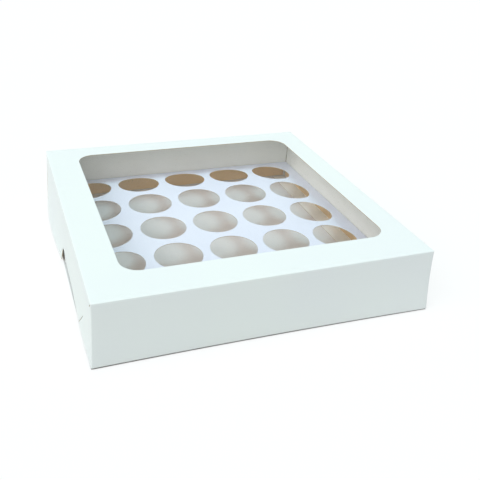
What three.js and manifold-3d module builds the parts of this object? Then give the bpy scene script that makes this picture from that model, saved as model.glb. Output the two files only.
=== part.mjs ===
// Flat sweets box of folded white card: a tray with a hinged lid, a film window in the lid and
// a loose card insert with a grid of round holes that hold the sweets.
// Millimetres, +Z up. The origin is on the table under the middle of all that the box covers.
// The lid's crease is along the top of the back wall, at +Y, and the lid opens from the front, at -Y.

import * as THREE from "three";
import { mergeVertices } from "three/addons/utils/BufferGeometryUtils.js";
import Module from "manifold-3d";

const wasm = await Module();
wasm.setup();

// The closed box, outside
const boxWidth = 300;
const boxDepth = 300;
const boxHeight = 60;
const card = 0.6;

// Clearances
const slideGap = 0.4;
const layGap = 0.3;
const glueGap = 0.1;
const seamGap = 0.4;
const creaseGap = 0.05;

// Lid: margins of card round the window, and flaps that hang outside the tray
const windowLeft = 31;
const windowRight = 25;
const windowFront = 35.4;
const windowBack = 22.8;
const windowRadius = 17;
const flapLift = 1.4;
const flapBackGap = 1.4;

// How far the flaps' lower edges stand off the upright. The front one stands further off at the
// right than at the left, and least in the middle. The side ones bow out and in again in front of
// their slot, and out behind it.
const frontLean = 1.85;
const frontTwist = 1.4;
const frontHollow = 2;
const sideLean = 2.5;
const frontBow = 0.9;
const backBow = 4.4;
const bowCurve = 1.5;

// Cuts on the fold that runs at 45 degrees from the lid's top front corners down to the rim,
// as where each starts and ends along the fold
const slitWidth = 0.7;
const slits = [[1, 9], [52, 90]];

// Film behind the window
const film = 0.2;
const filmGlueMargin = 8;

// Slots in the lower edges of the side flaps, over wider holes in the tray's side walls.
// The flap stands further out behind its slot than in front of it.
const slotHeight = 14.5;
const slotRadius = 3;
const flapSlotWidth = 7;
const flapSlotSetBack = 9.5;
const slotStep = 1.9;
const slotStepReach = 25;
const wallHoleWidth = 22;
const wallHoleSetBack = 17;

// Ends of the back wall, which stand out beside the flaps near the table
const backEndReach = 2.6;

// Insert: a plate on folded legs, bowed up in the middle
const insertCard = 0.5;
const insertEdgeHeight = 20;
const insertRise = 10;
const insertBowPower = 5;
const insertFoot = 17.5;
const footEndGap = 2;
const legEndGap = 1;
const holeColumns = 5;
const holeRows = 5;
const holePitch = 54.4;
const holeRadius = 22.8;

// Number of facets
const holeSides = 32;
const cornerSteps = 7;
const plateCells = 16;
const flapCells = 48;
const flapCellsHigh = 8;

// Corners closer than this are one
const weldDistance = 1e-4;

// Faces that follow from the sizes above
const lidInnerX = boxWidth / 2 - card;
const lidInnerFront = -boxDepth / 2 + card;
const trayOuterX = lidInnerX - slideGap;
const trayOuterFront = lidInnerFront + slideGap;
const trayInnerX = trayOuterX - card;
const trayInnerFront = trayOuterFront + card;
const trayInnerBack = boxDepth / 2 - card;
const lidUnderside = boxHeight - card;
const trayTop = lidUnderside - layGap;
const insertOuterX = trayInnerX - slideGap;
const insertFront = trayInnerFront + slideGap;
const insertBack = trayInnerBack - slideGap;
const insertMiddleY = (insertFront + insertBack) / 2;
const insertHalfDepth = (insertBack - insertFront) / 2;
const insertFloor = card + layGap;
const legTop = insertEdgeHeight - insertCard - creaseGap;

// A closed three.js geometry as a solid that can be joined and cut
function toSolid(geometry) {
  const bare = geometry.clone();
  bare.deleteAttribute("normal");
  bare.deleteAttribute("uv");
  const merged = mergeVertices(bare, weldDistance);
  return new wasm.Manifold(new wasm.Mesh({
    numProp: 3,
    vertProperties: new Float32Array(merged.attributes.position.array),
    triVerts: new Uint32Array(merged.index.array),
  }));
}

// A solid as a three.js geometry
function toGeometry(solid) {
  const mesh = solid.getMesh();
  const geometry = new THREE.BufferGeometry();
  geometry.setAttribute("position", new THREE.BufferAttribute(new Float32Array(mesh.vertProperties), 3));
  geometry.setIndex(new THREE.BufferAttribute(new Uint32Array(mesh.triVerts), 1));
  geometry.computeVertexNormals();
  return geometry;
}

// A straight piece of card between two corners
function panel(low, high, cells = [1, 1, 1]) {
  const size = high.map((value, axis) => value - low[axis]);
  const middle = high.map((value, axis) => (value + low[axis]) / 2);
  return new THREE.BoxGeometry(...size, ...cells).translate(...middle);
}

// Moves every corner of a geometry by what a function of its place says
function bend(geometry, shift) {
  const place = geometry.attributes.position;
  const point = new THREE.Vector3();
  for (let corner = 0; corner < place.count; corner += 1) {
    point.fromBufferAttribute(place, corner);
    point.add(shift(point));
    place.setXYZ(corner, point.x, point.y, point.z);
  }
  return geometry;
}

// A rectangle with rounded corners, as a path
function roundedRectangle(path, left, right, front, back, radius) {
  path.moveTo(left + radius, front);
  path.lineTo(right - radius, front);
  path.absarc(right - radius, front + radius, radius, -Math.PI / 2, 0);
  path.lineTo(right, back - radius);
  path.absarc(right - radius, back - radius, radius, 0, Math.PI / 2);
  path.lineTo(left + radius, back);
  path.absarc(left + radius, back - radius, radius, Math.PI / 2, Math.PI);
  path.lineTo(left, front + radius);
  path.absarc(left + radius, front + radius, radius, Math.PI, Math.PI * 1.5);
  return path;
}

// What a slot or hole takes out of one side, from a given height up to its rounded top
function sideCut(side, bottom, width, setBack) {
  const outline = new THREE.Shape();
  const half = width / 2;
  outline.moveTo(-half, bottom);
  outline.lineTo(half, bottom);
  outline.lineTo(half, slotHeight - slotRadius);
  outline.absarc(half - slotRadius, slotHeight - slotRadius, slotRadius, 0, Math.PI / 2);
  outline.absarc(-half + slotRadius, slotHeight - slotRadius, slotRadius, Math.PI / 2, Math.PI);
  outline.lineTo(-half, bottom);
  const depth = sideLean + backBow + slotStep + 4 * (card + slideGap) + insertCard;
  const cut = new THREE.ExtrudeGeometry(outline, { depth, bevelEnabled: false, curveSegments: cornerSteps });
  const alongY = new THREE.Vector3(0, 1, 0);
  const alongZ = new THREE.Vector3(0, 0, 1);
  const alongX = new THREE.Vector3(1, 0, 0);
  cut.applyMatrix4(new THREE.Matrix4().makeBasis(alongY, alongZ, alongX));
  const inner = insertOuterX - insertCard - slideGap;
  cut.translate(side > 0 ? inner : -inner - depth, setBack, 0);
  return toSolid(cut);
}

// How far the lower edge of a side flap stands off the upright at a depth y
function flapBow(y) {
  const front = -boxDepth / 2;
  const back = boxDepth / 2;
  if (y < flapSlotSetBack) {
    return sideLean + frontBow * Math.sin(2 * Math.PI * (y - front) / (flapSlotSetBack - front));
  }
  return sideLean + backBow * Math.sin(Math.PI * (y - flapSlotSetBack) / (back - flapSlotSetBack));
}

// How far the card beside a slot stands in or out of the flap's even bow
function slotOffset(y, z) {
  const nearness = Math.exp(-Math.abs(y - flapSlotSetBack) / slotStepReach);
  return Math.sign(y - flapSlotSetBack) * slotStep * nearness * Math.max(0, 1 - z / slotHeight);
}

// How far a point of the lid's upright flaps is moved out and forward
function flapShift(point) {
  const drop = Math.max(0, (boxHeight - point.z) / boxHeight) ** bowCurve;
  const outward = flapBow(point.y) * drop + slotOffset(point.y, point.z);
  const across = point.x / (boxWidth / 2);
  const frontEdge = frontLean + frontTwist * across + frontHollow * across ** 2;
  const forward = frontEdge * (boxDepth / 2 - point.y) / boxDepth;
  return new THREE.Vector3(outward * across, -forward * drop, 0);
}

// Tray: floor and four walls, with the side walls' ends free of the back wall, whose own ends
// reach out beside the lid's flaps
function makeTray() {
  const back = boxDepth / 2;
  let tray = toSolid(panel([-trayOuterX, trayOuterFront, 0], [trayOuterX, back, trayTop]));
  tray = tray.subtract(toSolid(panel(
    [-trayInnerX, trayInnerFront, card],
    [trayInnerX, trayInnerBack, boxHeight],
  )));
  for (const side of [-1, 1]) {
    const near = Math.min(side * (trayInnerX - card), side * boxWidth / 2);
    const far = Math.max(side * (trayInnerX - card), side * boxWidth / 2);
    tray = tray.subtract(toSolid(panel(
      [near, trayInnerBack - seamGap, card],
      [far, trayInnerBack, boxHeight],
    )));
    tray = tray.subtract(sideCut(side, card, wallHoleWidth, wallHoleSetBack));
    const end = new THREE.Shape();
    end.moveTo(side * trayInnerX, 0);
    end.lineTo(side * (boxWidth / 2 + backEndReach), 0);
    end.lineTo(side * trayOuterX, trayTop);
    end.lineTo(side * trayInnerX, trayTop);
    const wedge = new THREE.ExtrudeGeometry(end, { depth: card, bevelEnabled: false });
    wedge.rotateX(Math.PI / 2);
    wedge.translate(0, back, 0);
    tray = tray.add(toSolid(wedge));
  }
  return tray;
}

// One side flap of the lid, with its leaning lower edge, slot and corner slits
function makeSideFlap(side) {
  const front = -boxDepth / 2;
  const back = boxDepth / 2 - flapBackGap;
  const faces = [side * lidInnerX, side * boxWidth / 2].sort((a, b) => a - b);
  const cells = [1, flapCells, flapCellsHigh];
  const sheet = bend(panel([faces[0], front, flapLift], [faces[1], back, boxHeight], cells), flapShift);
  let flap = toSolid(sheet).subtract(sideCut(side, -flapLift, flapSlotWidth, flapSlotSetBack));
  for (const [start, end] of slits) {
    const slit = new THREE.BoxGeometry(4 * (card + sideLean), end - start, slitWidth);
    slit.translate(0, (start + end) / 2, 0);
    slit.rotateX(-Math.PI / 4);
    slit.translate(side * boxWidth / 2, front, boxHeight);
    flap = flap.subtract(toSolid(slit));
  }
  return flap;
}

// Lid: top panel with its window, front flap and two side flaps, glued at the front corners
function makeLid() {
  const outline = new THREE.Shape();
  outline.moveTo(-boxWidth / 2, -boxDepth / 2);
  outline.lineTo(boxWidth / 2, -boxDepth / 2);
  outline.lineTo(boxWidth / 2, boxDepth / 2);
  outline.lineTo(-boxWidth / 2, boxDepth / 2);
  outline.closePath();
  outline.holes.push(roundedRectangle(
    new THREE.Path(),
    -boxWidth / 2 + windowLeft,
    boxWidth / 2 - windowRight,
    -boxDepth / 2 + windowFront,
    boxDepth / 2 - windowBack,
    windowRadius,
  ));
  const top = new THREE.ExtrudeGeometry(outline, {
    depth: card,
    bevelEnabled: false,
    curveSegments: cornerSteps,
  });
  top.translate(0, 0, lidUnderside);
  let lid = toSolid(top).add(toSolid(bend(
    panel(
      [-boxWidth / 2, -boxDepth / 2, flapLift],
      [boxWidth / 2, lidInnerFront, boxHeight],
      [flapCells / 2, 1, flapCellsHigh],
    ),
    flapShift,
  )));
  for (const side of [-1, 1]) {
    lid = lid.add(makeSideFlap(side));
  }
  return lid;
}

// Film: a clear sheet glued under the lid all round the window
function makeFilm() {
  return toSolid(panel(
    [
      -boxWidth / 2 + windowLeft - filmGlueMargin,
      -boxDepth / 2 + windowFront - filmGlueMargin,
      lidUnderside - glueGap - film,
    ],
    [
      boxWidth / 2 - windowRight + filmGlueMargin,
      boxDepth / 2 - windowBack + filmGlueMargin,
      lidUnderside - glueGap,
    ],
  ));
}

// How far the insert's plate stands above its edge
function plateBow(x, y) {
  const across = Math.abs(x / insertOuterX) ** insertBowPower;
  const along = Math.abs((y - insertMiddleY) / insertHalfDepth) ** insertBowPower;
  return insertRise * Math.max(0, 1 - across) * Math.max(0, 1 - along);
}

// The insert's plate, bowed and with its grid of holes
function makePlate() {
  const plate = bend(
    panel(
      [-insertOuterX, insertFront, insertEdgeHeight - insertCard],
      [insertOuterX, insertBack, insertEdgeHeight],
      [plateCells, plateCells, 1],
    ),
    (point) => new THREE.Vector3(0, 0, plateBow(point.x, point.y)),
  );
  let holed = toSolid(plate);
  const holeHeight = insertRise + 4 * insertCard;
  for (let column = 0; column < holeColumns; column += 1) {
    for (let row = 0; row < holeRows; row += 1) {
      const hole = new THREE.CylinderGeometry(holeRadius, holeRadius, holeHeight, holeSides);
      hole.rotateX(Math.PI / 2);
      hole.translate(
        (column - (holeColumns - 1) / 2) * holePitch,
        insertMiddleY + (row - (holeRows - 1) / 2) * holePitch,
        insertEdgeHeight - 2 * insertCard + holeHeight / 2,
      );
      holed = holed.subtract(toSolid(hole));
    }
  }
  return holed;
}

// One side leg of the insert with its foot turned in. Only the left one has a hole.
function makeSideLeg(side) {
  const legFaces = [side * (insertOuterX - insertCard), side * insertOuterX].sort((a, b) => a - b);
  const footFaces = [side * (insertOuterX - insertFoot), side * insertOuterX].sort((a, b) => a - b);
  const leg = toSolid(panel(
    [legFaces[0], insertFront, insertFloor],
    [legFaces[1], insertBack, legTop],
  )).add(toSolid(panel(
    [footFaces[0], insertFront + footEndGap, insertFloor],
    [footFaces[1], insertBack - footEndGap, insertFloor + insertCard],
  )));
  return side < 0 ? leg.subtract(sideCut(side, card, wallHoleWidth, wallHoleSetBack)) : leg;
}

// The insert's leg along the front or the back
function makeCrossLeg(edge, inward) {
  const faces = [edge, edge + inward * insertCard].sort((a, b) => a - b);
  return toSolid(panel(
    [-insertOuterX + legEndGap, faces[0], insertFloor + insertCard + layGap],
    [insertOuterX - legEndGap, faces[1], legTop],
  ));
}

// Adds one piece to the box under its name, with its own material
function addPiece(group, name, solid, finish) {
  const mesh = new THREE.Mesh(toGeometry(solid), new THREE.MeshStandardMaterial(finish));
  mesh.name = name;
  group.add(mesh);
}

const sweetsBox = new THREE.Group();
addPiece(sweetsBox, "tray", makeTray(), { color: 0xe6e6df, roughness: 0.75, metalness: 0 });
addPiece(sweetsBox, "lid", makeLid(), { color: 0xeef6f6, roughness: 0.55, metalness: 0 });
addPiece(sweetsBox, "window_film", makeFilm(), {
  color: 0xffffff,
  roughness: 0.05,
  metalness: 0,
  transparent: true,
  opacity: 0.15,
});
const insertFinish = { color: 0xe2e8f4, roughness: 0.65, metalness: 0 };
addPiece(sweetsBox, "insert_plate", makePlate(), insertFinish);
addPiece(sweetsBox, "insert_left_leg", makeSideLeg(-1), insertFinish);
addPiece(sweetsBox, "insert_right_leg", makeSideLeg(1), insertFinish);
addPiece(sweetsBox, "insert_front_leg", makeCrossLeg(insertFront, 1), insertFinish);
addPiece(sweetsBox, "insert_back_leg", makeCrossLeg(insertBack, -1), insertFinish);
const middle = new THREE.Box3().setFromObject(sweetsBox).getCenter(new THREE.Vector3());
sweetsBox.position.set(-middle.x, -middle.y, 0);

export default sweetsBox;
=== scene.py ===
"""Looks of the sweets box: white card tray and lid, clear window and the insert with round holes."""

import logging
from dataclasses import dataclass, replace
from enum import Enum
from math import copysign, cos, exp, pi, radians, sin, sqrt, tan, tau
from typing import Callable, Sequence

import bmesh
import bpy
from mathutils import Matrix, Vector

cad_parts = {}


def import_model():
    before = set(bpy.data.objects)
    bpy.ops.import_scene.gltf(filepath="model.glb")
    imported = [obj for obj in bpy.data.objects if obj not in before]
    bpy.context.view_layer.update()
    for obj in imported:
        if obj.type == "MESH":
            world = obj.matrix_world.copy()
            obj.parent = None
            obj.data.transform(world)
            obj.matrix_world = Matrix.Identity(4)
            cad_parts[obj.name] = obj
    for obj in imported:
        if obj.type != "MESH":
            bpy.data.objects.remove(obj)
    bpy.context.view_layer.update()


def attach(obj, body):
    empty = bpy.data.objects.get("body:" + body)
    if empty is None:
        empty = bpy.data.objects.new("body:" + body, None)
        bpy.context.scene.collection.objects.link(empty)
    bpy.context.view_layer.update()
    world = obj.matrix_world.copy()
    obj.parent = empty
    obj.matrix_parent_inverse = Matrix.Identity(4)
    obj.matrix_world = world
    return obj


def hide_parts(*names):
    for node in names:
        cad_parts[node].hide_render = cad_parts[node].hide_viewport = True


log = logging.getLogger("sweets_box")

# Lengths are in millimetres. MIDDLE is under the middle of the lid's top.
MM = 0.001
MIDDLE = Vector((0.0, 2.534, 0.0))
INSERT_NODES = (
    "insert_plate",
    "insert_left_leg",
    "insert_right_leg",
    "insert_front_leg",
    "insert_back_leg",
)
DISPLAY_LEVELS = 255
DISPLAY_GAMMA = 2.2
TOLERANCE = 0.01
SLIVER = 0.001
LEVEL = 0.9
SMOOTH_ANGLE = 32.0

Piece = bpy.types.Object
Material = bpy.types.Material
Triple = tuple[float, float, float]
Colour = Triple
Display = tuple[int, int, int]
Band = tuple[float, float]
Outline = list[Band]

WHITE: Colour = (1.0, 1.0, 1.0)


def linear(display: Display) -> Colour:
    """Turns a colour in display values from 0 to 255 into linear light from 0 to 1."""
    return tuple((value / DISPLAY_LEVELS) ** DISPLAY_GAMMA for value in display)


class Face(Enum):
    """The kinds of surface that a piece of card has, as material numbers."""

    PRINTED = 0
    CUT = 1
    BACK = 2
    SPARE = 3


class Wire:
    """One output of a shader node, which takes part in Python sums."""

    def __init__(self, bench: "Bench", socket: bpy.types.NodeSocket) -> None:
        """Keeps the output and the bench that it belongs to."""
        self.bench = bench
        self.socket = socket

    def maths(self, operation: str, first: "Wire | float", second: "Wire | float") -> "Wire":
        """Adds a Math node of two values or links, and gives its output."""
        return self.bench.node("ShaderNodeMath", {0: first, 1: second}, {"operation": operation})

    def __add__(self, other: "Wire | float") -> "Wire":
        """Sum."""
        return self.maths("ADD", self, other)

    def __sub__(self, other: "Wire | float") -> "Wire":
        """Difference."""
        return self.maths("SUBTRACT", self, other)

    def __rsub__(self, other: float) -> "Wire":
        """Difference, reflected."""
        return self.maths("SUBTRACT", other, self)

    def __mul__(self, other: "Wire | float") -> "Wire":
        """Product."""
        return self.maths("MULTIPLY", self, other)

    def rising(self, low: float, high: float) -> "Wire":
        """Goes smoothly from 0 at low to 1 at high.

        Args:
            low: The value that gives 0.
            high: The value that gives 1.

        Returns:
            The mapped value.
        """
        return self.bench.node(
            "ShaderNodeMapRange",
            {"Value": self, "From Min": low, "From Max": high},
            {"interpolation_type": "SMOOTHSTEP", "clamp": True},
        )


class Bench:
    """Makes the nodes of one material or world."""

    MIX_SHARE = 0
    MIX_FIRST = 6
    MIX_SECOND = 7
    MIX_RESULT = 2

    def __init__(self, tree: bpy.types.NodeTree) -> None:
        """Empties the tree and keeps it."""
        self.tree = tree
        tree.nodes.clear()

    def node(
        self,
        kind: str,
        inputs: dict[str | int, object] | None = None,
        settings: dict[str, object] | None = None,
        output: str | int = 0,
    ) -> Wire | None:
        """Adds a node, sets it up and fills its sockets.

        Args:
            kind: The node's type.
            inputs: Values or links for its sockets, by name or number.
            settings: Its properties.
            output: The socket that is handed back.

        Returns:
            That output, or None from a node that has none.
        """
        made = self.tree.nodes.new(kind)
        for name, value in (settings or {}).items():
            setattr(made, name, value)
        for name, value in (inputs or {}).items():
            socket = made.inputs[name]
            if isinstance(value, Wire):
                self.tree.links.new(value.socket, socket)
            else:
                socket.default_value = value
        return Wire(self, made.outputs[output]) if made.outputs else None

    def mix(self, share: Wire | float, first: object, second: object) -> Wire:
        """Mixes two colours.

        Args:
            share: How much of the second there is.
            first: A colour or link.
            second: A colour or link.

        Returns:
            The mixed colour.
        """
        colours = [value if isinstance(value, Wire) else (*value, 1.0) for value in (first, second)]
        return self.node(
            "ShaderNodeMix",
            {self.MIX_SHARE: share, self.MIX_FIRST: colours[0], self.MIX_SECOND: colours[1]},
            {"data_type": "RGBA"},
            self.MIX_RESULT,
        )

    def seen(self) -> Wire:
        """Tells rays that are seen, mirrored or through the film too, from those that only light.

        Returns:
            1 for the rays that are seen and 0 for the others.
        """
        direct, mirrored, passed = (
            self.node("ShaderNodeLightPath", output=f"Is {kind} Ray")
            for kind in ("Camera", "Glossy", "Transmission")
        )
        return direct.maths("MAXIMUM", direct, direct.maths("MAXIMUM", mirrored, passed))

    def noise(
        self, place: Wire, scale: float, detail: float = 2.0, stretch: Triple | None = None
    ) -> Wire:
        """Adds a noise over a place, from 0 to 1.

        Args:
            place: Where on the surface, in metres.
            scale: Grains in a metre.
            detail: How many finer layers there are.
            stretch: Factors along X, Y and Z.

        Returns:
            The noise's value.
        """
        if stretch is not None:
            place = self.node("ShaderNodeVectorMath", {0: place, 1: stretch}, {"operation": "MULTIPLY"})
        return self.node(
            "ShaderNodeTexNoise",
            {"Vector": place, "Scale": scale, "Detail": detail},
            {"noise_dimensions": "3D"},
        )

    def bump(self, height: Wire, distance: float, below: Wire | None = None) -> Wire:
        """Adds a bump over a height.

        Args:
            height: The height, from 0 to 1.
            distance: What a height of 1 stands for, in metres.
            below: Another bump that this one lies on.

        Returns:
            The normal.
        """
        inputs = {"Strength": 1.0, "Distance": distance, "Height": height}
        if below is not None:
            inputs["Normal"] = below
        return self.node("ShaderNodeBump", inputs)


@dataclass(frozen=True)
class CardFinish:
    """One surface of card: its colours in display values, how its fibres show, and its gloss."""

    name: str
    colour: Display
    shade: Display
    fleck: Display
    roughness: float
    fibre_height: float = 0.00002
    wave_height: float = 0.0006
    fleck_share: float = 0.15
    coat: float = 0.0
    rough_spread: float = 0.08
    cloud_scale: float = 9.0
    cloud_band: Band = (0.3, 0.75)
    fibre_scale: float = 1400.0
    fibre_stretch: Triple = (1.0, 0.35, 1.0)
    cross_scale: float = 700.0
    cross_stretch: Triple = (0.3, 1.0, 1.0)
    cross_share: float = 0.4
    fleck_scale: float = 520.0
    fleck_band: Band = (0.62, 0.78)
    wave_scale: float = 7.0
    wave_stretch: Triple = (1.0, 1.0, 0.6)

    def make(self) -> Material:
        """Makes the material.

        Returns:
            The material.
        """
        material = bpy.data.materials.new(self.name)
        material.use_nodes = True
        bench = Bench(material.node_tree)
        place = bench.node("ShaderNodeTexCoord", output="Object")
        clouds = bench.noise(place, self.cloud_scale, detail=3.0)
        fibres = bench.noise(place, self.fibre_scale, detail=3.0, stretch=self.fibre_stretch)
        cross = bench.noise(place, self.cross_scale, stretch=self.cross_stretch)
        flecks = bench.noise(place, self.fleck_scale).rising(*self.fleck_band)
        tone = bench.mix(clouds.rising(*self.cloud_band), linear(self.colour), linear(self.shade))
        tone = bench.mix(flecks * self.fleck_share, tone, linear(self.fleck))
        waves = bench.noise(place, self.wave_scale, detail=1.0, stretch=self.wave_stretch)
        normal = bench.bump(waves, self.wave_height)
        grain = fibres * (1.0 - self.cross_share) + cross * self.cross_share
        normal = bench.bump(grain, self.fibre_height, normal)
        rough = clouds * self.rough_spread + fibres * self.rough_spread
        rough = rough + (self.roughness - self.rough_spread)
        card = bench.node("ShaderNodeBsdfPrincipled", {
            "Base Color": tone,
            "Roughness": rough,
            "Normal": normal,
            "Specular IOR Level": 0.35,
            "Coat Weight": self.coat,
            "Coat Roughness": 0.4,
        })
        bench.node("ShaderNodeOutputMaterial", {"Surface": card})
        return material


@dataclass(frozen=True)
class FilmFinish:
    """The clear film: nearly invisible, with a faint gloss, ripple and haze."""

    name: str = "clear_film"
    tint: Colour = (0.95, 0.98, 0.99)
    alpha: float = 0.02
    roughness: float = 0.06
    haze_scale: float = 60.0
    haze_alpha: float = 0.03
    haze_roughness: float = 0.05
    ripple_scale: float = 14.0
    ripple_stretch: Triple = (1.0, 0.4, 1.0)
    ripple_height: float = 0.0012

    def make(self) -> Material:
        """Makes the material.

        Returns:
            The material.
        """
        material = bpy.data.materials.new(self.name)
        material.use_nodes = True
        bench = Bench(material.node_tree)
        place = bench.node("ShaderNodeTexCoord", output="Object")
        ripple = bench.noise(place, self.ripple_scale, stretch=self.ripple_stretch)
        haze = bench.noise(place, self.haze_scale, detail=3.0)
        film = bench.node("ShaderNodeBsdfPrincipled", {
            "Base Color": (*self.tint, 1.0),
            "Roughness": haze * self.haze_roughness + self.roughness,
            "Alpha": haze * self.haze_alpha + self.alpha,
            "Normal": bench.bump(ripple, self.ripple_height),
        })
        bench.node("ShaderNodeOutputMaterial", {"Surface": film})
        return material


LID_OUTSIDE = CardFinish(
    name="lid_coated_card",
    colour=(237, 243, 240),
    shade=(235, 240, 240),
    fleck=(226, 231, 230),
    roughness=0.5,
    coat=0.08,
)
CARD_BACK = CardFinish(
    name="uncoated_card_back",
    colour=(246, 245, 236),
    shade=(241, 239, 229),
    fleck=(206, 198, 180),
    roughness=0.85,
    fibre_height=0.00005,
    fleck_share=0.5,
)
# Painted shade: the brown of the insert's underside and of its legs' inner faces stands in for the warm
# shade beneath the plate.
UNDERSIDE_SHADE = CardFinish(
    name="insert_underside_painted_shade",
    colour=(238, 206, 154),
    shade=(228, 194, 140),
    fleck=(160, 126, 86),
    roughness=0.9,
    fibre_height=0.00006,
    fleck_share=0.5,
)
FOOT_TOP = CardFinish(
    name="insert_foot_card",
    colour=(243, 247, 250),
    shade=(237, 241, 243),
    fleck=(216, 216, 212),
    roughness=0.7,
)
# Painted shade: dark brown strips that stand in for the shade in the tray's back inside corners.
CORNER_SHADE = CardFinish(
    name="painted_corner_shade",
    colour=(150, 134, 108),
    shade=(122, 106, 82),
    fleck=(96, 80, 58),
    roughness=0.95,
    wave_height=0.0,
)
CARD_EDGE = CardFinish(
    name="cut_card_edge",
    colour=(216, 202, 178),
    shade=(196, 178, 150),
    fleck=(150, 128, 100),
    roughness=0.9,
    fibre_height=0.00008,
    wave_height=0.0,
    fleck_share=0.6,
)
INSERT_TOP = CardFinish(
    name="insert_white_card",
    colour=(231, 235, 248),
    shade=(226, 230, 245),
    fleck=(208, 212, 226),
    roughness=0.6,
    wave_height=0.0002,
)
# Painted shade: a greyer, darker copy of the card back for the tray's floor, which gets little light
# under the insert.
TRAY_FLOOR_SHADE = replace(
    CARD_BACK,
    name="tray_floor_painted_shade",
    colour=(228, 226, 229),
    shade=(222, 220, 222),
    fleck=(200, 198, 190),
)
TRAY_OUTSIDE = CardFinish(
    name="tray_coated_card",
    colour=(238, 243, 244),
    shade=(232, 238, 240),
    fleck=(214, 220, 224),
    roughness=0.55,
)


class Sheet:
    """A surface of card in millimetres, collected as rows of points and joined where they meet."""

    def __init__(self) -> None:
        """Starts with nothing."""
        self.points: list[Vector] = []
        self.faces: list[tuple[int, ...]] = []

    def grid(self, rows: Sequence[Sequence[Vector]], closed: bool = False) -> None:
        """Adds quads between rows of points.

        Args:
            rows: Rows of points, all as long.
            closed: Whether the last column joins the first.
        """
        start = len(self.points)
        wide = len(rows[0])
        for row in rows:
            self.points.extend(row)
        for low in range(len(rows) - 1):
            for left in range(wide if closed else wide - 1):
                right = (left + 1) % wide
                base = start + low * wide
                self.faces.append((base + left, base + right, base + wide + right, base + wide + left))

    def mesh(self, name: str, sky: float) -> bpy.types.Mesh:
        """Makes the mesh, with its level faces turned up or down.

        Args:
            name: The mesh's name.
            sky: 1 if level faces look up, or -1 if they look down.

        Returns:
            The mesh, in metres.
        """
        made = bpy.data.meshes.new(name)
        made.from_pydata([(point + MIDDLE) * MM for point in self.points], [], self.faces)
        work = bmesh.new()
        work.from_mesh(made)
        bmesh.ops.remove_doubles(work, verts=work.verts, dist=TOLERANCE * MM)
        bmesh.ops.dissolve_degenerate(work, edges=work.edges, dist=SLIVER * MM)
        bmesh.ops.recalc_face_normals(work, faces=work.faces)
        flat = [face for face in work.faces if abs(face.normal.z) > LEVEL]
        level = sum(face.normal.z * face.calc_area() for face in flat)
        if level * sky < 0:
            bmesh.ops.reverse_faces(work, faces=work.faces)
        work.to_mesh(made)
        work.free()
        return made


@dataclass
class Card:
    """Makes card pieces of one thickness and dresses their three kinds of surface."""

    thickness: float
    printed: Material
    back: Material
    cut: Material

    def piece(self, name: str, sheet: Sheet, sky: float) -> Piece:
        """Thickens a sheet into card.

        Args:
            name: The piece's name.
            sheet: Its printed surface.
            sky: 1 if the sheet's level faces look up, or -1 if they look down.

        Returns:
            The piece.
        """
        made = placed(name, sheet.mesh(name, sky))
        for material in (self.printed, self.cut, self.back):
            made.data.materials.append(material)
        thick = made.modifiers.new("thickness", "SOLIDIFY")
        thick.thickness = self.thickness * MM
        thick.offset = -1.0
        thick.use_even_offset = True
        thick.material_offset = Face.BACK.value
        thick.material_offset_rim = Face.CUT.value
        return settle(made)


def placed(name: str, data: bpy.types.ID) -> Piece:
    """Puts data in the scene, as an object of its own.

    Args:
        name: The object's name.
        data: Its mesh, lamp or camera.

    Returns:
        The object.
    """
    made = bpy.data.objects.new(name, data)
    bpy.context.scene.collection.objects.link(made)
    return made


def settle(piece: Piece) -> Piece:
    """Applies a piece's modifiers.

    Args:
        piece: The piece.

    Returns:
        The same piece, with a plain mesh.
    """
    bpy.context.view_layer.update()
    graph = bpy.context.evaluated_depsgraph_get()
    final = bpy.data.meshes.new_from_object(piece.evaluated_get(graph))
    piece.modifiers.clear()
    piece.data = final
    return piece


def smooth(piece: Piece) -> None:
    """Shades smooth, apart from sharp edges.

    Args:
        piece: The piece.
    """
    for polygon in piece.data.polygons:
        polygon.use_smooth = True
    piece.data.set_sharp_from_angle(angle=radians(SMOOTH_ANGLE))


def cut(piece: Piece, outline: Outline, place: Callable[[float, float, float], Vector]) -> None:
    """Cuts a prism out of a piece of card, and leaves cut edges.

    Args:
        piece: The piece.
        outline: The prism's outline in its own plane, in millimetres.
        place: Puts a point of the outline, at depth 0 or 1, in the frame.
    """
    count = len(outline)
    points = [(place(x, y, depth) + MIDDLE) * MM for depth in (0.0, 1.0) for x, y in outline]
    faces = [tuple(range(count)), tuple(range(2 * count - 1, count - 1, -1))]
    for near in range(count):
        far = (near + 1) % count
        faces.append((near, near + count, far + count, far))
    mesh = bpy.data.meshes.new("cutter")
    mesh.from_pydata(points, [], faces)
    work = bmesh.new()
    work.from_mesh(mesh)
    bmesh.ops.recalc_face_normals(work, faces=work.faces)
    work.to_mesh(mesh)
    work.free()
    for _ in Face:
        mesh.materials.append(None)
    for polygon in mesh.polygons:
        polygon.material_index = Face.CUT.value
    knife = placed("cutter", mesh)
    taken = piece.modifiers.new("cut", "BOOLEAN")
    taken.operation = "DIFFERENCE"
    taken.solver = "EXACT"
    taken.material_mode = "INDEX"
    taken.object = knife
    settle(piece)
    bpy.data.objects.remove(knife)


def arc(start: float, end: float, steps: int) -> list[float]:
    """Angles in radians from start to end, both in degrees and both included."""
    return [radians(start + (end - start) * step / steps) for step in range(steps + 1)]


def spread(start: float, end: float, steps: int) -> list[float]:
    """Even values from start to end, both included."""
    return [start + (end - start) * step / steps for step in range(steps + 1)]


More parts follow.
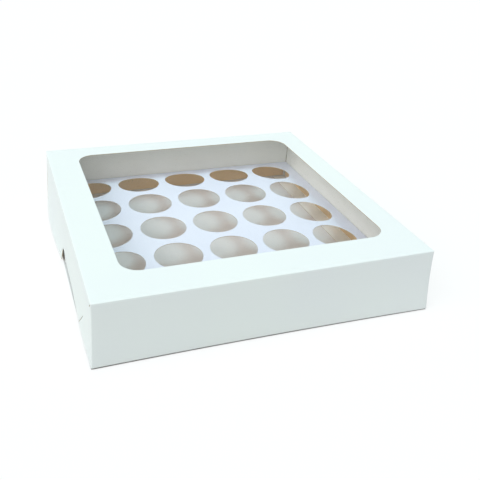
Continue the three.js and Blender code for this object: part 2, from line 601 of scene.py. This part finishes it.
@dataclass
class BoxSizes:
    """Sizes in millimetres that the pieces share."""

    width: float = 300.0
    depth: float = 300.0
    height: float = 60.0
    card: float = 0.6
    slide_gap: float = 0.4
    lay_gap: float = 0.3
    glue_gap: float = 0.1
    seam: float = 0.4
    crease: float = 0.8
    crease_steps: int = 6

    @property
    def tray_x(self) -> float:
        """Outside of the tray's side walls."""
        return self.width / 2 - self.card - self.slide_gap

    @property
    def tray_front(self) -> float:
        """Outside of the tray's front wall."""
        return -self.depth / 2 + self.card + self.slide_gap

    @property
    def tray_top(self) -> float:
        """Top edge of the tray's walls."""
        return self.height - self.card - self.lay_gap


@dataclass
class SideHole:
    """A hole near the table in each side, rounded at its top, in millimetres."""

    width: float
    set_back: float
    height: float = 14.5
    radius: float = 3.0
    steps: int = 8

    def outline(self, bottom: float) -> Outline:
        """The hole's outline along the side and up.

        Args:
            bottom: Height of its lower edge.

        Returns:
            Points as depth and height.
        """
        half = self.width / 2
        centre = self.height - self.radius
        right = [
            (half - self.radius + self.radius * cos(turn), centre + self.radius * sin(turn))
            for turn in arc(0, 90, self.steps)
        ]
        left = [(-x, z) for x, z in reversed(right)]
        points = [(-half, bottom), (half, bottom), *right, *left]
        return [(self.set_back + y, z) for y, z in points]

    def cut_from(
        self, piece: Piece, bottom: float, inner: float, outer: float, sides: Sequence[int] = (-1, 1)
    ) -> None:
        """Cuts the hole in the sides of a piece.

        Args:
            piece: The piece.
            bottom: Height of the hole's lower edge.
            inner: Where the cut starts, from the middle.
            outer: Where it ends.
            sides: Which sides are cut, -1 for left and 1 for right.
        """
        for side in sides:
            cut(
                piece,
                self.outline(bottom),
                lambda y, z, depth, side=side: Vector((side * (inner + (outer - inner) * depth), y, z)),
            )


@dataclass
class Lid:
    """Top panel with the window, front flap and side flaps."""

    sizes: BoxSizes
    slot: SideHole
    window_left: float = 31.0
    window_right: float = 25.0
    window_front: float = 35.4
    window_back: float = 22.8
    window_radius: float = 17.0
    flap_lift: float = 1.4
    flap_back_gap: float = 1.4
    front_lean: float = 1.85
    front_twist: float = 1.4
    front_hollow: float = 2.0
    side_lean: float = 2.5
    front_bow: float = 0.9
    back_bow: float = 4.4
    bow_curve: float = 1.5
    slot_step: float = 1.9
    slot_step_reach: float = 25.0
    corner: float = 0.9
    slit_width: float = 0.7
    slits: tuple[Band, ...] = ((1.0, 9.0), (52.0, 90.0))
    slit_reach: float = 3.0
    slot_reach: float = 4.0
    side_steps: int = 48
    corner_steps: int = 6
    panel_steps: int = 6
    flap_steps: int = 20

    def window(self, margin: float = 0.0) -> tuple[float, float, float, float]:
        """Where the window's edges are.

        Args:
            margin: How far outside them.

        Returns:
            Left, right, front and back.
        """
        half_x = self.sizes.width / 2
        half_y = self.sizes.depth / 2
        return (
            -half_x + self.window_left - margin,
            half_x - self.window_right + margin,
            -half_y + self.window_front - margin,
            half_y - self.window_back + margin,
        )

    def bow(self, y: float) -> float:
        """How far the lower edge of a side flap stands off the upright.

        Args:
            y: The place from front to back.

        Returns:
            The distance, outward.
        """
        front = -self.sizes.depth / 2
        back = self.sizes.depth / 2
        middle = self.slot.set_back
        if y < middle:
            return self.side_lean + self.front_bow * sin(tau * (y - front) / (middle - front))
        return self.side_lean + self.back_bow * sin(pi * (y - middle) / (back - middle))

    def slot_offset(self, y: float, z: float) -> float:
        """How far the card beside the slot stands in or out of the flap's even bow.

        Args:
            y: The place from front to back.
            z: The height.

        Returns:
            The distance, outward.
        """
        past = y - self.slot.set_back
        nearness = exp(-abs(past) / self.slot_step_reach)
        step = copysign(self.slot_step, past)
        return step * nearness * max(0.0, 1 - z / self.slot.height)

    def lean(self, point: Vector) -> Vector:
        """Moves a point of the upright flaps out and forward.

        Args:
            point: The point on the upright flap.

        Returns:
            The point on the leaning flap.
        """
        top = self.sizes.height - self.sizes.crease
        drop = max(0.0, (top - point.z) / top) ** self.bow_curve
        outward = self.bow(point.y) * drop + self.slot_offset(point.y, point.z)
        across = point.x / (self.sizes.width / 2)
        front_edge = self.front_lean + self.front_twist * across + self.front_hollow * across**2
        forward = front_edge * (self.sizes.depth / 2 - point.y) / self.sizes.depth
        return point + Vector((outward * across, -forward * drop, 0))

    def rim(self) -> list[tuple[Vector, Vector]]:
        """Walks round the lid's outside from the back left corner, past the front.

        Returns:
            Points on the outside and the way that the card faces there.
        """
        half_x = self.sizes.width / 2
        half_y = self.sizes.depth / 2
        turn = self.corner
        corners = [
            (-half_x + turn, half_y - turn, 90),
            (-half_x + turn, -half_y + turn, 180),
            (half_x - turn, -half_y + turn, 270),
            (half_x - turn, half_y - turn, 360),
        ]
        walk = []
        for number, (x, y, start) in enumerate(corners):
            for angle in arc(start, start + 90, self.corner_steps):
                way = Vector((cos(angle), sin(angle), 0))
                walk.append((Vector((x, y, 0)) + way * turn, way))
            next_x, next_y, _ = corners[(number + 1) % len(corners)]
            way = walk[-1][1]
            for share in spread(0, 1, self.side_steps)[1:-1]:
                spot = Vector((x, y, 0)).lerp(Vector((next_x, next_y, 0)), share)
                walk.append((spot + way * turn, way))
        return walk

    def window_point(self, spot: Vector) -> Vector:
        """The point of the window's edge that belongs to a point of the rim.

        Args:
            spot: A point on the lid's outside.

        Returns:
            The point on the window's edge.
        """
        left, right, front, back = self.window()
        turn = self.window_radius
        half_x = self.sizes.width / 2
        half_y = self.sizes.depth / 2
        near_x = left + turn if spot.x < 0 else right - turn
        near_y = front + turn if spot.y < 0 else back - turn
        side_x = -1 if spot.x < 0 else 1
        side_y = -1 if spot.y < 0 else 1
        past_x = max(0.0, side_x * (spot.x - near_x)) / (half_x - side_x * near_x)
        past_y = max(0.0, side_y * (spot.y - near_y)) / (half_y - side_y * near_y)
        on_side = abs(spot.x) / half_x > abs(spot.y) / half_y
        if past_x > 0 and past_y > 0:
            angle = radians(45 * past_y if on_side else 90 - 45 * past_x)
            return Vector((
                near_x + side_x * turn * cos(angle),
                near_y + side_y * turn * sin(angle),
                0,
            ))
        if on_side:
            return Vector((near_x + side_x * turn, spot.y, 0))
        return Vector((spot.x, near_y + side_y * turn, 0))

    def sheet(self) -> Sheet:
        """The lid's outer surface.

        Returns:
            The surface.
        """
        made = Sheet()
        height = self.sizes.height
        crease = self.sizes.crease
        rim = self.rim()
        up = Vector((0, 0, 1))
        panel = []
        for share in spread(0, 1, self.panel_steps):
            panel.append([
                self.window_point(spot).lerp(spot - way * crease, share) + up * height
                for spot, way in rim
            ])
        made.grid(panel, closed=True)
        fold = []
        for angle in arc(0, 90, self.sizes.crease_steps):
            low = height - crease * (1 - cos(angle))
            fold.append([spot + way * crease * (sin(angle) - 1) + up * low for spot, way in rim])
        made.grid(fold, closed=True)
        end = self.sizes.depth / 2 - self.flap_back_gap
        hanging = [spot for spot, way in rim if way.y < TOLERANCE and spot.y <= end]
        flap = []
        for z in spread(height - crease, self.flap_lift, self.flap_steps):
            flap.append([self.lean(spot + up * z) for spot in hanging])
        made.grid(flap)
        return made

    def build(self, card: Card) -> Piece:
        """Builds the lid and cuts its side slots and the slits of its corner folds.

        Args:
            card: The card that it is made of.

        Returns:
            The lid.
        """
        lid = card.piece("lid_card", self.sheet(), 1)
        half_x = self.sizes.width / 2
        outer = half_x + self.side_lean + self.back_bow + self.slot_reach
        self.slot.cut_from(lid, -self.flap_lift, half_x - self.slot_reach, outer)
        half_y = self.sizes.depth / 2
        slope = sqrt(0.5)
        for side in (-1, 1):
            for start, end in self.slits:
                half = self.slit_width / 2
                outline = [(start, -half), (end, -half), (end, half), (start, half)]
                cut(
                    lid,
                    outline,
                    lambda run, off, depth, side=side: Vector((
                        side * (half_x + self.slit_reach * (2 * depth - 1)),
                        -half_y + slope * (run + off),
                        self.sizes.height - slope * (run - off),
                    )),
                )
        smooth(lid)
        return lid


@dataclass
class Film:
    """The clear sheet glued under the lid."""

    lid: Lid
    thickness: float = 0.2
    margin: float = 8.0
    sag: float = 0.8
    sag_power: float = 0.7
    cells: int = 24

    def build(self, material: Material) -> Piece:
        """Builds the film, which lies a little slack between its glued edges.

        Args:
            material: The clear finish.

        Returns:
            The film.
        """
        sizes = self.lid.sizes
        left, right, front, back = self.lid.window(self.margin)
        top = sizes.height - sizes.card - sizes.glue_gap
        sheet = Sheet()
        rows = []
        for y in spread(front, back, self.cells):
            along = sin(pi * (y - front) / (back - front))
            row = []
            for x in spread(left, right, self.cells):
                across = sin(pi * (x - left) / (right - left))
                row.append(Vector((x, y, top - self.sag * (along * across) ** self.sag_power)))
            rows.append(row)
        sheet.grid(rows)
        film = placed("clear_window", sheet.mesh("clear_window", 1))
        film.data.materials.append(material)
        thick = film.modifiers.new("thickness", "SOLIDIFY")
        thick.thickness = self.thickness * MM
        thick.offset = -1.0
        settle(film)
        smooth(film)
        return film


@dataclass
class Tray:
    """Floor and four walls, with strips of painted shade in the back inside corners."""

    sizes: BoxSizes
    hole: SideHole
    end_reach: float = 2.6
    shade_strip_depth: float = 0.15
    shade_strip_low: float = 3.0
    shade_strip_cells: int = 12
    cells: int = 24
    cells_high: int = 8
    cut_inside: float = 1.5
    cut_outside: float = 4.0
    floor_level: float = 0.99
    floor_share: float = 0.9

    def wall(self, start: Vector, along: Vector, inward: Vector, top: float) -> list[list[Vector]]:
        """Rows of points of a crease and the wall above it.

        Args:
            start: The wall's first lower corner.
            along: From there to its other lower corner.
            inward: The way to the tray's middle.
            top: The wall's top edge.

        Returns:
            Rows of points, from the floor up.
        """
        crease = self.sizes.crease
        rows = []
        for angle in arc(0, 90, self.sizes.crease_steps):
            shift = inward * crease * (1 - sin(angle))
            shift += Vector((0, 0, crease * (1 - cos(angle))))
            rows.append([start + along * share + shift for share in spread(0, 1, self.cells)])
        for z in spread(crease, top, self.cells_high)[1:]:
            lift = Vector((0, 0, z))
            rows.append([start + along * share + lift for share in spread(0, 1, self.cells)])
        return rows

    def sheet(self) -> Sheet:
        """The tray's outer surface.

        Returns:
            The surface.
        """
        made = Sheet()
        half_x = self.sizes.tray_x
        front = self.sizes.tray_front
        back = self.sizes.depth / 2
        crease = self.sizes.crease
        top = self.sizes.tray_top
        span_x = spread(-half_x + crease, half_x - crease, self.cells)
        made.grid([
            [Vector((x, y, 0)) for x in span_x]
            for y in spread(front + crease, back - crease, self.cells)
        ])
        wide = Vector((2 * (half_x - crease), 0, 0))
        made.grid(self.wall(Vector((-half_x + crease, front, 0)), wide, Vector((0, 1, 0)), top))
        made.grid(self.wall(Vector((-half_x + crease, back, 0)), wide, Vector((0, -1, 0)), top))
        long = Vector((0, back - front - 2 * crease, 0))
        for side in (-1, 1):
            inward = Vector((-side, 0, 0))
            made.grid(self.wall(Vector((side * half_x, front + crease, 0)), long, inward, top))
        for side in (-1, 1):
            for y, way in ((front + crease, -1), (back - crease, 1)):
                corner = [
                    (side * (half_x - crease * (1 - cos(angle))), y + way * crease * sin(angle))
                    for angle in arc(0, 90, self.sizes.crease_steps)
                ]
                heights = spread(crease, top, self.cells_high)
                made.grid([[Vector((*spot, z)) for spot in corner] for z in heights])
        for side in (-1, 1):
            foot = side * (self.sizes.width / 2 + self.end_reach)
            made.grid([
                [
                    Vector((side * (half_x - crease), back, z)),
                    Vector((foot + (side * half_x - foot) * (z - crease) / (top - crease), back, z)),
                ]
                for z in spread(crease, top, self.cells_high)
            ])
        return made

    def shade_strips(self, finish: Material) -> Piece:
        """Builds the dark strips of painted shade inside the back corners.

        Args:
            finish: Their finish.

        Returns:
            The strips.
        """
        made = Sheet()
        wall_x = self.sizes.tray_x - self.sizes.card
        wall_y = self.sizes.depth / 2 - self.sizes.card
        near, far = self.shade_strip_depth, self.sizes.seam
        for side in (-1, 1):
            made.grid([
                [
                    Vector((side * (wall_x - in_x), wall_y - in_y, z))
                    for in_x, in_y in ((far, near), (near, near), (near, far))
                ]
                for z in spread(self.shade_strip_low, self.sizes.tray_top, self.shade_strip_cells)
            ])
        shade_strips = placed("corner_shade_strips", made.mesh("corner_shade_strips", 1))
        shade_strips.data.materials.append(finish)
        thick = shade_strips.modifiers.new("thickness", "SOLIDIFY")
        thick.thickness = self.shade_strip_depth * MM
        thick.offset = 0.0
        return settle(shade_strips)

    def build(self, card: Card, floor: Material) -> Piece:
        """Builds the tray and cuts its side holes.

        Args:
            card: The card that it is made of.
            floor: The finish of its floor inside, a darker grey that paints the shade under the insert.

        Returns:
            The tray.
        """
        tray = card.piece("tray_card", self.sheet(), -1)
        wall = self.sizes.tray_x
        self.hole.cut_from(tray, self.sizes.card, wall - self.cut_inside, wall + self.cut_outside)
        # The floor's inside faces get the darker grey of painted shade.
        tray.data.materials.append(floor)
        inside = self.sizes.card * self.floor_share * MM
        for polygon in tray.data.polygons:
            if polygon.normal.z > self.floor_level and inside < polygon.center.z < 2 * inside:
                polygon.material_index = Face.SPARE.value
        smooth(tray)
        return tray


@dataclass
class Insert:
    """Bowed plate with round holes, legs down its four edges and feet turned in at both sides."""

    sizes: BoxSizes
    hole: SideHole
    card_thickness: float = 0.5
    edge_height: float = 20.0
    rise: float = 10.0
    bow_power: float = 5.0
    foot: float = 17.5
    columns: int = 5
    rows: int = 5
    pitch: float = 54.4
    hole_radius: float = 22.8
    hole_steps: int = 12
    ring_steps: int = 4
    margin_steps: int = 5
    leg_steps: int = 6
    foot_steps: int = 4
    corner_gap: float = 1.6
    cut_reach: float = 1.0
    foot_level: float = 0.5

    @property
    def half_x(self) -> float:
        """Half the plate's width."""
        return self.sizes.tray_x - self.sizes.card - self.sizes.slide_gap

    @property
    def front(self) -> float:
        """The plate's front edge."""
        return self.sizes.tray_front + self.sizes.card + self.sizes.slide_gap

    @property
    def back(self) -> float:
        """The plate's back edge."""
        return self.sizes.depth / 2 - self.sizes.card - self.sizes.slide_gap

    @property
    def middle(self) -> float:
        """The plate's middle, from front to back."""
        return (self.front + self.back) / 2

    def on_plate(self, x: float, y: float) -> Vector:
        """A point of the bowed plate's top.

        Args:
            x: Its place across.
            y: Its place from front to back.

        Returns:
            The point.
        """
        half_y = (self.back - self.front) / 2
        across = max(0.0, 1 - abs(x / self.half_x) ** self.bow_power)
        along = max(0.0, 1 - abs((y - self.middle) / half_y) ** self.bow_power)
        return Vector((x, y, self.edge_height + self.rise * across * along))

    def cell(self, made: Sheet, x: float, y: float) -> None:
        """Adds one square of the plate round its hole.

        Args:
            made: The sheet that it is added to.
            x: The hole's middle across.
            y: The hole's middle from front to back.
        """
        half = self.pitch / 2
        around = 8 * self.hole_steps
        angles = [tau * step / around for step in range(around)]
        rings = []
        for share in spread(0, 1, self.ring_steps):
            ring = []
            for angle in angles:
                reach = half / max(abs(cos(angle)), abs(sin(angle)))
                radius = self.hole_radius + (reach - self.hole_radius) * share
                ring.append(self.on_plate(x + radius * cos(angle), y + radius * sin(angle)))
            rings.append(ring)
        made.grid(rings, closed=True)

    def stations(self, count: int, middle: float) -> list[float]:
        """Places along one edge of the hole grid where its squares have points.

        Args:
            count: How many squares there are.
            middle: The edge's middle.

        Returns:
            The places, from one end to the other.
        """
        half = self.pitch / 2
        places = []
        for number in range(count):
            centre = middle + (number - (count - 1) / 2) * self.pitch
            for angle in arc(-45, 45, 2 * self.hole_steps)[:-1]:
                places.append(centre + half * tan(angle))
        return [*places, middle + count * half]

    def sheet(self) -> Sheet:
        """The insert's top and outer surface.

        Returns:
            The surface.
        """
        made = Sheet()
        crease = self.sizes.crease
        for column in range(self.columns):
            for row in range(self.rows):
                self.cell(
                    made,
                    (column - (self.columns - 1) / 2) * self.pitch,
                    self.middle + (row - (self.rows - 1) / 2) * self.pitch,
                )
        across = self.stations(self.columns, 0.0)
        along = self.stations(self.rows, self.middle)
        out_x = self.half_x - crease
        out_front = self.front + crease
        out_back = self.back - crease
        side_margins = ((-out_x, across[0]), (across[-1], out_x))
        end_margins = ((out_front, along[0]), (along[-1], out_back))
        for start, end in side_margins:
            row = spread(start, end, self.margin_steps)
            made.grid([[self.on_plate(x, y) for x in row] for y in along])
        for start, end in end_margins:
            column = spread(start, end, self.margin_steps)
            made.grid([[self.on_plate(x, y) for x in across] for y in column])
            for left, right in side_margins:
                row = spread(left, right, self.margin_steps)
                made.grid([[self.on_plate(x, y) for x in row] for y in column])
        return made

    def leg(self, made: Sheet, spots: Sequence[Vector], outward: Vector, foot: float) -> None:
        """Adds a leg that folds down from the plate's edge, and a foot turned in below it.

        Args:
            made: The sheet that it is added to.
            spots: Points where the plate's level part ends.
            outward: The way out of the box.
            foot: The foot's width, or 0 for none.
        """
        crease = self.sizes.crease
        low = self.sizes.card + self.sizes.lay_gap
        rows = []
        for angle in arc(0, 90, self.sizes.crease_steps):
            shift = outward * crease * sin(angle) - Vector((0, 0, crease * (1 - cos(angle))))
            rows.append([spot + shift for spot in spots])
        edge = [Vector((spot.x, spot.y, 0)) + outward * crease for spot in spots]
        for z in spread(self.edge_height - crease, low + crease, self.leg_steps)[1:]:
            rows.append([spot + Vector((0, 0, z)) for spot in edge])
        if foot > 0:
            for angle in arc(0, 90, self.sizes.crease_steps)[1:]:
                shift = outward * crease * (cos(angle) - 1)
                shift += Vector((0, 0, low + crease * (1 - sin(angle))))
                rows.append([spot + shift for spot in edge])
            for reach in spread(crease, foot, self.foot_steps)[1:]:
                rows.append([spot - outward * reach + Vector((0, 0, low)) for spot in edge])
        made.grid(rows)

    def build(self, card: Card, foot: Material) -> Piece:
        """Builds the insert and cuts its left leg away behind the tray's hole.

        Args:
            card: The card that it is made of.
            foot: The finish of the feet's upper side.

        Returns:
            The insert.
        """
        made = self.sheet()
        crease = self.sizes.crease
        out_x = self.half_x - crease
        across = self.stations(self.columns, 0.0)
        along = self.stations(self.rows, self.middle)
        along = [self.front + crease + self.corner_gap, *along, self.back - crease - self.corner_gap]
        across = [-out_x + self.corner_gap, *across, out_x - self.corner_gap]
        for side in (-1, 1):
            spots = [Vector((side * out_x, y, self.edge_height)) for y in along]
            self.leg(made, spots, Vector((side, 0, 0)), self.foot)
        for y, way in ((self.front + crease, -1), (self.back - crease, 1)):
            spots = [Vector((x, y, self.edge_height)) for x in across]
            self.leg(made, spots, Vector((0, way, 0)), 0.0)
        insert = card.piece("insert_card", made, 1)
        inner = self.half_x - self.cut_reach
        outer = self.half_x + self.cut_reach
        self.hole.cut_from(insert, self.sizes.card, inner, outer, sides=(-1,))
        insert.data.materials.append(foot)
        low = self.sizes.card + self.sizes.lay_gap + self.card_thickness
        for polygon in insert.data.polygons:
            below = polygon.center.z < (low + self.sizes.lay_gap) * MM
            if below and polygon.normal.z > self.foot_level:
                polygon.material_index = Face.SPARE.value
        smooth(insert)
        return insert


@dataclass
class PhotoCamera:
    """The camera at the photograph's viewing angle. Angles in degrees, lengths in metres."""

    azimuth: float = -20.835
    elevation: float = 29.536
    roll: float = 3.268
    distance: float = 0.65767
    pan_right: float = 0.003887
    pan_up: float = 0.013219
    lens: float = 47.37
    sensor: float = 36.0
    shift_right: float = 0.04615
    shift_up: float = -0.0125

    def place(self) -> None:
        """Makes the scene's camera."""
        turn = radians(self.azimuth)
        rise = radians(self.elevation)
        back = Vector((sin(turn) * cos(rise), -cos(turn) * cos(rise), sin(rise)))
        right = (-back).cross(Vector((0, 0, 1))).normalized()
        up = right.cross(-back)
        tilt = radians(self.roll)
        side = right * cos(tilt) + up * sin(tilt)
        top = up * cos(tilt) - right * sin(tilt)
        data = bpy.data.cameras.new("photo_camera")
        data.lens = self.lens
        data.sensor_width = self.sensor
        data.shift_x = self.shift_right
        data.shift_y = self.shift_up
        data.clip_start = 0.01
        data.clip_end = 100.0
        frame = Matrix((side, top, back)).transposed().to_4x4()
        frame.translation = back * self.distance + side * self.pan_right + top * self.pan_up
        frame.translation += MIDDLE * MM
        camera = placed("photo_camera", data)
        camera.matrix_world = frame
        bpy.context.scene.camera = camera


@dataclass
class Studio:
    """White floor and backdrop, and light from all round, left and above. Lengths in metres."""

    floor_size: float = 30.0
    # Painted shade: the floor under the box is a darker grey than the open floor, so the shade under
    # the flaps shows dark.
    shaded_floor_colour: Colour = (0.66, 0.66, 0.66)
    floor_white: Colour = (0.97, 0.97, 0.97)
    floor_glow: float = 0.72
    round_light: float = 0.58
    key_light: float = 1.2
    key_width: float = 50.0
    key_from: Triple = (-0.25, -0.10, 0.25)
    key_tint: Colour = WHITE
    top_light: float = 0.88
    top_width: float = 30.0
    top_from: Triple = (-0.05, 0.05, 1.0)
    top_tint: Colour = (0.62, 0.96, 1.0)
    shade_front: float = -0.1492
    shade_twist: float = 0.0012
    shade_hollow: float = 0.0017
    shade_back: float = 0.13
    shade_half_width: float = 0.1527
    shade_blur: float = 0.0004

    def outside(self, bench: Bench) -> Wire:
        """Tells the open floor from the floor under the box, which no glow lifts and which has the
        darker grey of painted shade.

        Args:
            bench: The floor material's nodes.

        Returns:
            1 on the open floor and 0 under the box.
        """
        spot = bench.node("ShaderNodeTexCoord", output="Object")
        across, along = (bench.node("ShaderNodeSeparateXYZ", {0: spot}, output=axis) for axis in "XY")
        edge = self.shade_half_width
        blur = self.shade_blur
        place = across * (1.0 / edge)
        front = self.shade_front - (place * self.shade_twist + place * place * self.shade_hollow)
        behind = (along - front).rising(0.0, blur)
        behind = behind - along.rising(self.shade_back, self.shade_back + blur)
        between = across.rising(-edge, -edge + blur) - across.rising(edge - blur, edge)
        return 1.0 - behind * between

    def floor(self) -> None:
        """Lays the floor."""
        half = self.floor_size / 2
        mesh = bpy.data.meshes.new("studio_floor")
        corners = [(-half, -half, 0), (half, -half, 0), (half, half, 0), (-half, half, 0)]
        mesh.from_pydata(corners, [], [(0, 1, 2, 3)])
        floor = placed("studio_floor", mesh)
        material = bpy.data.materials.new("studio_floor")
        material.use_nodes = True
        bench = Bench(material.node_tree)
        open_floor = bench.seen() * self.outside(bench)
        # The floor under the box has the darker grey of painted shade.
        plain = bench.node("ShaderNodeBsdfDiffuse", {"Color": (*self.shaded_floor_colour, 1.0)})
        bright = bench.node("ShaderNodeBsdfDiffuse", {"Color": (*self.floor_white, 1.0)})
        glow = bench.node("ShaderNodeEmission", {"Color": (*WHITE, 1.0)})
        lifted = bench.node("ShaderNodeMixShader", {0: self.floor_glow, 1: bright, 2: glow})
        surface = bench.node("ShaderNodeMixShader", {0: open_floor, 1: plain, 2: lifted})
        bench.node("ShaderNodeOutputMaterial", {"Surface": surface})
        mesh.materials.append(material)

    def sky(self) -> None:
        """Makes the even light, which shows as white."""
        world = bpy.data.worlds.new("studio")
        world.use_nodes = True
        bpy.context.scene.world = world
        bench = Bench(world.node_tree)
        strength = bench.seen() * (1.0 - self.round_light) + self.round_light
        background = bench.node("ShaderNodeBackground", {"Color": (*WHITE, 1.0), "Strength": strength})
        bench.node("ShaderNodeOutputWorld", {"Surface": background})

    def lamp(self, name: str, strength: float, width: float, source: Triple, tint: Colour) -> None:
        """Makes a broad light from far away.

        Args:
            name: Its name.
            strength: Its strength.
            width: How wide it looks, in degrees.
            source: The way to it.
            tint: Its colour.
        """
        data = bpy.data.lights.new(name, "SUN")
        data.energy = strength
        data.angle = radians(width)
        data.color = tint
        lamp = placed(name, data)
        lamp.rotation_mode = "QUATERNION"
        lamp.rotation_quaternion = Vector(source).to_track_quat("Z", "Y")

    def build(self) -> None:
        """Builds the studio."""
        self.floor()
        self.sky()
        self.lamp("key_light", self.key_light, self.key_width, self.key_from, self.key_tint)
        self.lamp("top_light", self.top_light, self.top_width, self.top_from, self.top_tint)
        bpy.context.scene.view_settings.view_transform = "Standard"


def show(piece: Piece, body: str, nodes: Sequence[str]) -> None:
    """Puts a piece on its body in place of its solids.

    Args:
        piece: The piece.
        body: The body that it moves with.
        nodes: The solids that it stands for.
    """
    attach(piece, body)
    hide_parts(*nodes)
    log.info("%s: %d faces, on %s", piece.name, len(piece.data.polygons), body)


def main() -> None:
    """Builds the sweets box round its frame."""
    logging.basicConfig(level=logging.INFO, format="%(name)s %(message)s")
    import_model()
    PhotoCamera().place()
    Studio().build()

    sizes = BoxSizes()
    wall_hole = SideHole(width=22.0, set_back=17.0)
    back = CARD_BACK.make()
    edge = CARD_EDGE.make()
    lid = Lid(sizes, SideHole(width=7.0, set_back=9.5))
    tray = Tray(sizes, wall_hole)
    insert = Insert(sizes, wall_hole)

    lid_card = Card(sizes.card, LID_OUTSIDE.make(), back, edge)
    tray_card = Card(sizes.card, TRAY_OUTSIDE.make(), back, edge)
    # The insert's underside is brown painted shade.
    insert_card = Card(insert.card_thickness, INSERT_TOP.make(), UNDERSIDE_SHADE.make(), edge)
    show(lid.build(lid_card), "lid", ["lid"])
    show(Film(lid).build(FilmFinish().make()), "lid", ["window_film"])
    show(tray.build(tray_card, TRAY_FLOOR_SHADE.make()), "tray", ["tray"])
    show(insert.build(insert_card, FOOT_TOP.make()), "tray", INSERT_NODES)
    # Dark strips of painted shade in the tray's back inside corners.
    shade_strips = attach(tray.shade_strips(CORNER_SHADE.make()), "tray")
    log.info("%s: %d faces, on tray", shade_strips.name, len(shade_strips.data.polygons))


if __name__ == "__main__":
    main()
